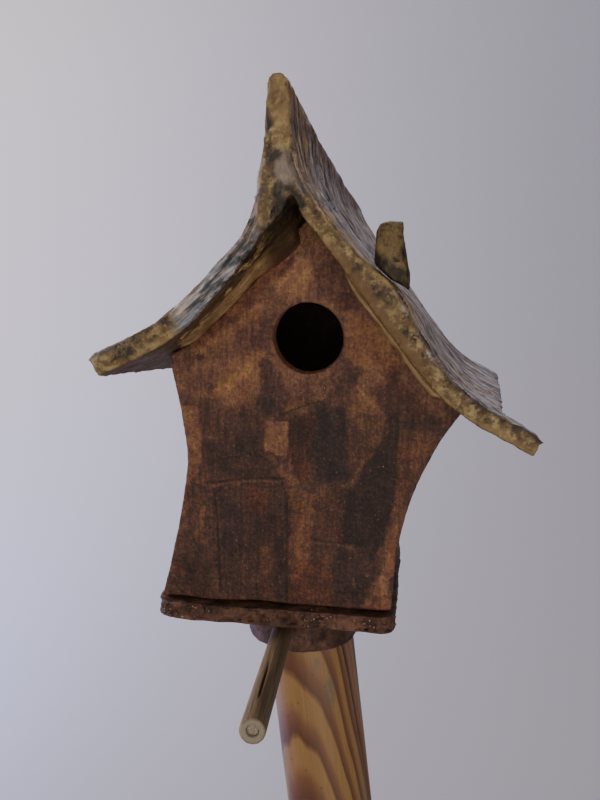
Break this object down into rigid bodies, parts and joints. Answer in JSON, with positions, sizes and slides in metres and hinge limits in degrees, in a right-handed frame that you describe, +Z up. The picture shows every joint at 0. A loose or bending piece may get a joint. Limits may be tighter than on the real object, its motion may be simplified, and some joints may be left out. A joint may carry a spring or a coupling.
{
  "type": "birdhouse on pole",
  "caption": "Hand-built stoneware birdhouse with a swept witch-hat roof, side chimney, round entrance and cane perch, sitting tilted on a round pine pole.",
  "frame": {"origin": "centre of the pole's bottom face, on the ground", "axes": "+Z up along the pole, the front with the entrance hole and perch faces -Y, +X to the right of someone facing the front"},
  "size_m": [0.1899, 0.2124, 0.7488],
  "materials": {
    "pine": "bare round pine, weathered, with red-brown grain",
    "dark_clay": "unglazed dark grogged stoneware with torn edges",
    "stained_stoneware": "stoneware with wiped red-brown and purple-brown oxide stain",
    "roof_stoneware": "tan stoneware, wood-grain pressed, grey oxide wash with black mottles",
    "cane": "weathered grey-brown cane",
    "pith": "dry matt pith"
  },
  "bodies": {
    "root": {"pole": "pine", "collar": "dark_clay", "floor_slab": "dark_clay", "front_wall": "stained_stoneware", "back_wall": "stained_stoneware", "left_wall": "stained_stoneware", "right_wall": "stained_stoneware", "left_roof": "roof_stoneware", "right_roof": "roof_stoneware", "front_left_coil": "roof_stoneware", "front_right_coil": "roof_stoneware", "back_left_coil": "roof_stoneware", "back_right_coil": "roof_stoneware", "chimney": "roof_stoneware", "perch_cane": "cane", "perch_pith": "pith"}
  },
  "joints": []
}
